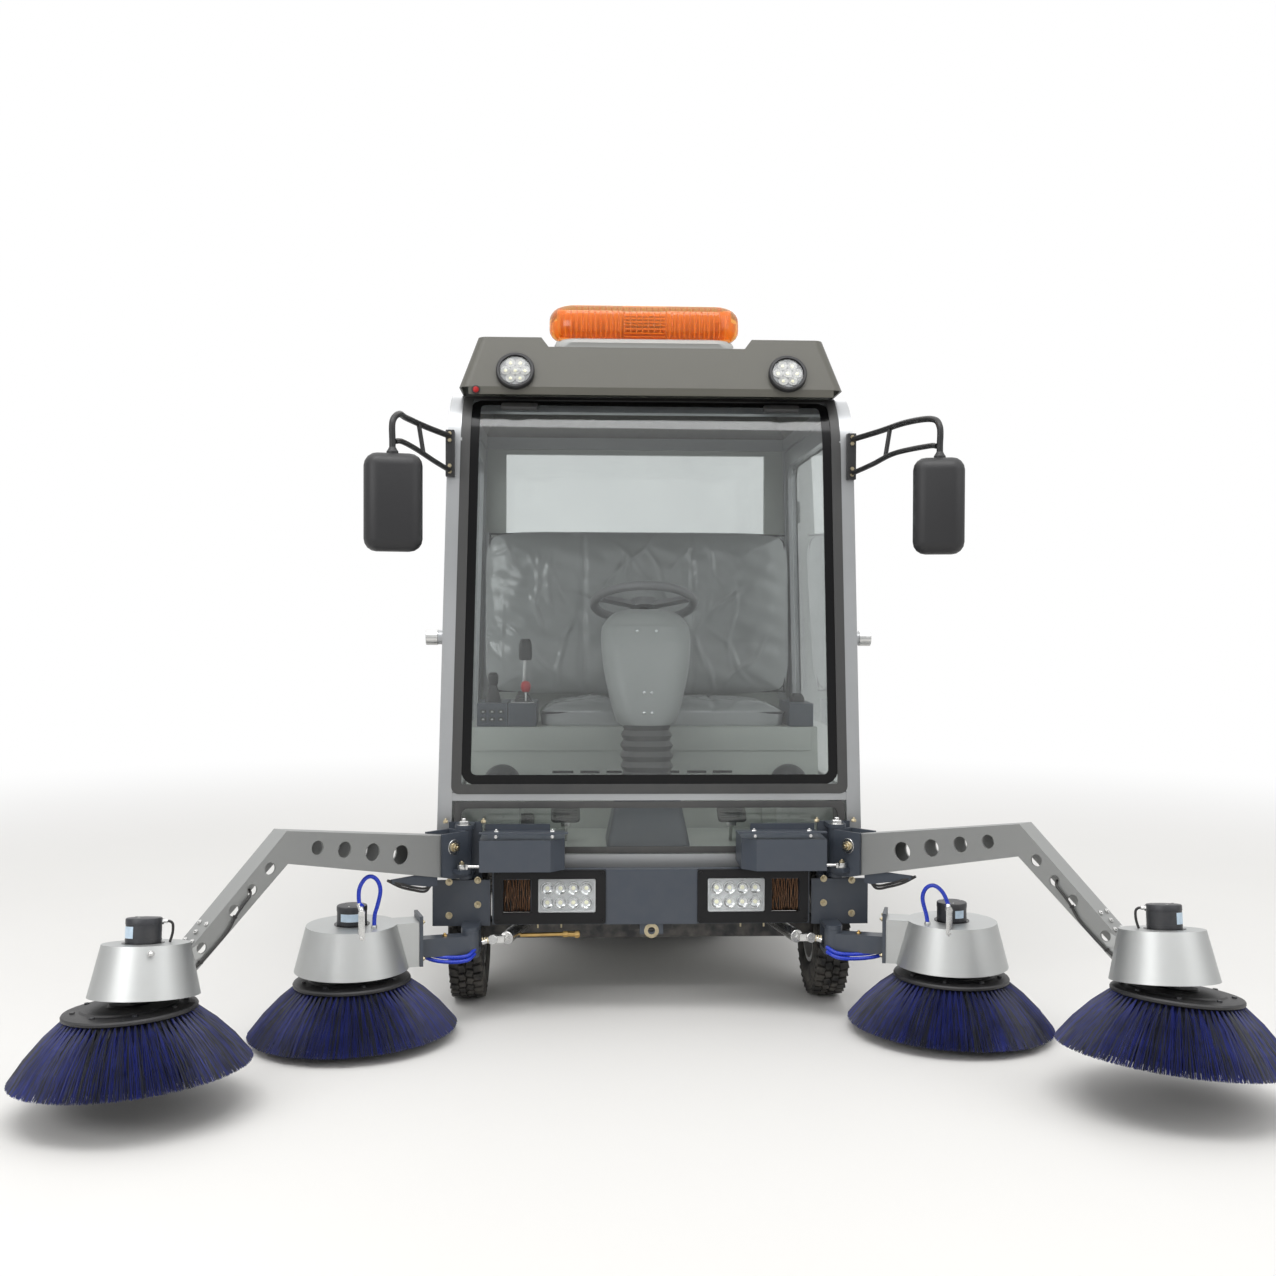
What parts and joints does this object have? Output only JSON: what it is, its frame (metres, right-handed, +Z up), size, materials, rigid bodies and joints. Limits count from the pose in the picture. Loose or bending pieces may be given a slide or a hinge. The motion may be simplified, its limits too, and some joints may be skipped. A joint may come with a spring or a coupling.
{
  "type": "compact road sweeper",
  "caption": "Compact road sweeper with enclosed cab, two long bent and two short brush arms, main roller, tipping rear hopper, steered front wheels and opening doors.",
  "frame": {"origin": "on the ground under the middle of the bounding box", "axes": "+Z up, the machine faces -Y, +X is its left side"},
  "size_m": [3.1221, 3.5942, 2.18],
  "materials": {
    "silver_paint": "satin metallic paint",
    "slate_paint": "matt powder coat",
    "chassis_paint": "satin",
    "visor": "satin",
    "glass": "polished",
    "tyre": "moulded",
    "rim": "satin",
    "bristle": "drawn filament",
    "motor": "satin",
    "amber": "clear moulded",
    "lamp": "moulded",
    "inside": "grained",
    "dark_plastic": "grained",
    "seat": "grained cover",
    "steel": "ground",
    "battery": "satin"
  },
  "bodies": {
    "chassis": {"frame_rails": "chassis_paint", "frame_cross_members": "chassis_paint", "front_axle": "chassis_paint", "rear_axle": "chassis_paint", "roller_hood": "chassis_paint", "cab_frame": "silver_paint", "cab_tub": "inside", "windscreen": "glass", "cab_windows": "glass", "roof_cap": "visor", "beacon_bar": "amber", "steering_column": "dark_plastic", "seat": "seat", "side_consoles": "dark_plastic", "front_bumper": "slate_paint", "front_lamps": "lamp", "arm_mounts": "slate_paint", "brush_actuators": "slate_paint", "mirrors": "dark_plastic", "mid_body": "silver_paint", "battery_pack": "battery"},
    "main_roller": {"main_roller": "bristle"},
    "steering_wheel": {"steering_wheel": "dark_plastic"},
    "hopper": {"hopper": "silver_paint"},
    "hopper_door": {"hopper_door": "slate_paint"},
    "hopper_barrels": {"hopper_barrels": "chassis_paint"},
    "hopper_rods": {"hopper_rods": "steel"},
    "knuckle_left": {"knuckle_left": "chassis_paint"},
    "front_wheel_left": {"tyre_front_left": "tyre", "rim_front_left": "rim"},
    "rear_wheel_left": {"tyre_rear_left": "tyre", "rim_rear_left": "rim"},
    "door_left": {"door_left": "silver_paint", "door_glass_left": "glass"},
    "knuckle_right": {"knuckle_right": "chassis_paint"},
    "front_wheel_right": {"tyre_front_right": "tyre", "rim_front_right": "rim"},
    "rear_wheel_right": {"tyre_rear_right": "tyre", "rim_rear_right": "rim"},
    "door_right": {"door_right": "silver_paint", "door_glass_right": "glass"},
    "outer_bracket_left": {"outer_bracket_left": "slate_paint"},
    "outer_arm_left": {"outer_arm_left": "silver_paint", "outer_motor_left": "motor"},
    "outer_brush_left": {"outer_brush_left": "bristle"},
    "outer_rod_left": {"outer_rod_left": "steel"},
    "inner_arm_left": {"inner_arm_left": "slate_paint", "inner_cover_left": "silver_paint", "inner_motor_left": "motor"},
    "inner_brush_left": {"inner_brush_left": "bristle"},
    "outer_bracket_right": {"outer_bracket_right": "slate_paint"},
    "outer_arm_right": {"outer_arm_right": "silver_paint", "outer_motor_right": "motor"},
    "outer_brush_right": {"outer_brush_right": "bristle"},
    "outer_rod_right": {"outer_rod_right": "steel"},
    "inner_arm_right": {"inner_arm_right": "slate_paint", "inner_cover_right": "silver_paint", "inner_motor_right": "motor"},
    "inner_brush_right": {"inner_brush_right": "bristle"}
  },
  "joints": [
    {"name": "steer_left", "type": "hinge", "parent": "chassis", "child": "knuckle_left", "pos_m": [0.515, -0.46725, 0.21], "axis": [0, 0, 1], "range_deg": [-25, 25]},
    {"name": "front_wheel_left_spin", "type": "hinge", "parent": "knuckle_left", "child": "front_wheel_left", "pos_m": [0.559, -0.46725, 0.21], "axis": [1, 0, 0], "continuous": true},
    {"name": "rear_wheel_left_spin", "type": "hinge", "parent": "chassis", "child": "rear_wheel_left", "pos_m": [0.559, 1.16275, 0.21], "axis": [1, 0, 0], "continuous": true},
    {"name": "steer_right", "type": "hinge", "parent": "chassis", "child": "knuckle_right", "pos_m": [-0.515, -0.46725, 0.21], "axis": [0, 0, 1], "range_deg": [-25, 25]},
    {"name": "front_wheel_right_spin", "type": "hinge", "parent": "knuckle_right", "child": "front_wheel_right", "pos_m": [-0.559, -0.46725, 0.21], "axis": [1, 0, 0], "continuous": true},
    {"name": "rear_wheel_right_spin", "type": "hinge", "parent": "chassis", "child": "rear_wheel_right", "pos_m": [-0.559, 1.16275, 0.21], "axis": [1, 0, 0], "continuous": true},
    {"name": "steering_wheel_turn", "type": "hinge", "parent": "chassis", "child": "steering_wheel", "pos_m": [0, -0.16725, 1.24], "axis": [0, 0.342, 0.9397], "range_deg": [-300, 300]},
    {"name": "door_left_hinge", "type": "hinge", "parent": "chassis", "child": "door_left", "pos_m": [0.64454, 0.49275, 1.10031], "axis": [-0.0261, 0, 0.9997], "range_deg": [0, 70]},
    {"name": "door_right_hinge", "type": "hinge", "parent": "chassis", "child": "door_right", "pos_m": [-0.64454, 0.49275, 1.10031], "axis": [0.0261, 0, 0.9997], "range_deg": [-70, 0]},
    {"name": "main_roller_spin", "type": "hinge", "parent": "chassis", "child": "main_roller", "pos_m": [0, 0.31275, 0.17], "axis": [1, 0, 0], "continuous": true},
    {"name": "hopper_tilt", "type": "hinge", "parent": "chassis", "child": "hopper", "pos_m": [0, 1.73075, 0.43], "axis": [-1, 0, 0], "range_deg": [0, 45]},
    {"name": "hopper_door_hinge", "type": "hinge", "parent": "hopper", "child": "hopper_door", "pos_m": [0, 1.77575, 1.416], "axis": [1, 0, 0], "range_deg": [0, 75]},
    {"name": "hopper_barrels_turn", "type": "hinge", "parent": "chassis", "child": "hopper_barrels", "pos_m": [0, 0.87275, 0.45], "axis": [-1, 0, 0], "range_deg": [0, 2.7]},
    {"name": "hopper_rods_slide", "type": "slide", "parent": "hopper_barrels", "child": "hopper_rods", "axis": [0, 0.9782, 0.2079], "range_m": [0, 0.152]},
    {"name": "outer_swing_left", "type": "hinge", "parent": "chassis", "child": "outer_bracket_left", "pos_m": [0.56, -0.69725, 0.519], "axis": [0, 0, 1], "range_deg": [-20, 20]},
    {"name": "outer_lift_left", "type": "hinge", "parent": "outer_bracket_left", "child": "outer_arm_left", "pos_m": [0.6092, -0.75385, 0.519], "axis": [-0.7547, -0.6561, 0], "range_deg": [-2, 20]},
    {"name": "outer_brush_left_spin", "type": "hinge", "parent": "outer_arm_left", "child": "outer_brush_left", "pos_m": [1.25673, -1.49875, 0.283], "axis": [0.0841, 0.0731, 0.9938], "continuous": true},
    {"name": "outer_rod_left_slide", "type": "slide", "parent": "chassis", "child": "outer_rod_left", "axis": [1, 0, 0], "range_m": [-0.031, 0.031]},
    {"name": "inner_swing_left", "type": "hinge", "parent": "chassis", "child": "inner_arm_left", "pos_m": [0.535, -0.78725, 0.2375], "axis": [0, 0, 1], "range_deg": [-35, 5]},
    {"name": "inner_brush_left_spin", "type": "hinge", "parent": "inner_arm_left", "child": "inner_brush_left", "pos_m": [0.86213, -0.88353, 0.172], "axis": [0.0257, 0.018, 0.9995], "continuous": true},
    {"name": "outer_swing_right", "type": "hinge", "parent": "chassis", "child": "outer_bracket_right", "pos_m": [-0.56, -0.69725, 0.519], "axis": [0, 0, 1], "range_deg": [-20, 20]},
    {"name": "outer_lift_right", "type": "hinge", "parent": "outer_bracket_right", "child": "outer_arm_right", "pos_m": [-0.61229, -0.75102, 0.519], "axis": [-0.7169, 0.6972, 0], "range_deg": [-2, 20]},
    {"name": "outer_brush_right_spin", "type": "hinge", "parent": "outer_arm_right", "child": "outer_brush_right", "pos_m": [-1.30039, -1.45861, 0.256], "axis": [-0.0525, 0.0511, 0.9973], "continuous": true},
    {"name": "outer_rod_right_slide", "type": "slide", "parent": "chassis", "child": "outer_rod_right", "axis": [1, 0, 0], "range_m": [-0.031, 0.031]},
    {"name": "inner_swing_right", "type": "hinge", "parent": "chassis", "child": "inner_arm_right", "pos_m": [-0.535, -0.78725, 0.2375], "axis": [0, 0, 1], "range_deg": [-5, 35]},
    {"name": "inner_brush_right_spin", "type": "hinge", "parent": "inner_arm_right", "child": "inner_brush_right", "pos_m": [-0.86213, -0.88353, 0.172], "axis": [-0.0257, 0.018, 0.9995], "continuous": true}
  ],
  "couplings": [
    {"joint": "steer_right", "follows": "steer_left", "ratio": 1},
    {"joint": "steering_wheel_turn", "follows": "steer_left", "ratio": 12},
    {"joint": "hopper_barrels_turn", "follows": "hopper_tilt", "ratio": 0.0484},
    {"joint": "hopper_rods_slide", "follows": "hopper_tilt", "m_per_rad": 0.1888},
    {"joint": "outer_rod_left_slide", "follows": "outer_swing_left", "m_per_rad": 0.085},
    {"joint": "outer_rod_right_slide", "follows": "outer_swing_right", "m_per_rad": 0.085}
  ]
}
